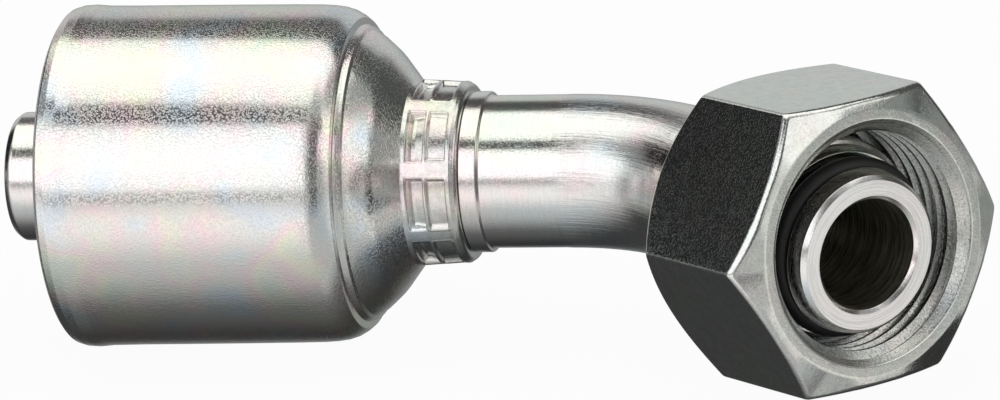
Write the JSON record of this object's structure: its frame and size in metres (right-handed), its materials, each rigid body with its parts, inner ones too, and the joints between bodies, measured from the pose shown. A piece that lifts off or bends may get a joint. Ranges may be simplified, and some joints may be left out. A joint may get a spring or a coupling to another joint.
{
  "type": "crimp hose fitting",
  "caption": "Hydraulic hose end with a crimp shell staked on a barbed stem, a 45 degree elbow, a 24 degree cone nose with a seal ring and a loose swivel nut.",
  "frame": {"origin": "on the hose axis, at the mouth of the crimp shell", "axes": "+X along the hose axis towards the nose, the elbow turns towards -Y, +Z is square to the elbow's plane"},
  "size_m": [0.1327, 0.0693, 0.0452],
  "materials": {
    "zinc_shell": "clear zinc plating, satin",
    "zinc_stem": "clear zinc plating, turned",
    "nitrile_rubber": "smooth black",
    "zinc_nut": "clear zinc plating, drawn flats"
  },
  "bodies": {
    "fitting": {"crimp_shell": "zinc_shell", "bent_stem": "zinc_stem", "seal_ring": "nitrile_rubber"},
    "nut": {"swivel_nut": "zinc_nut"}
  },
  "joints": [
    {"name": "nut_swivel", "type": "hinge", "parent": "fitting", "child": "nut", "pos_m": [0.09822, -0.02015, 0], "axis": [0.7343, -0.6745, 0.0762], "continuous": true}
  ]
}
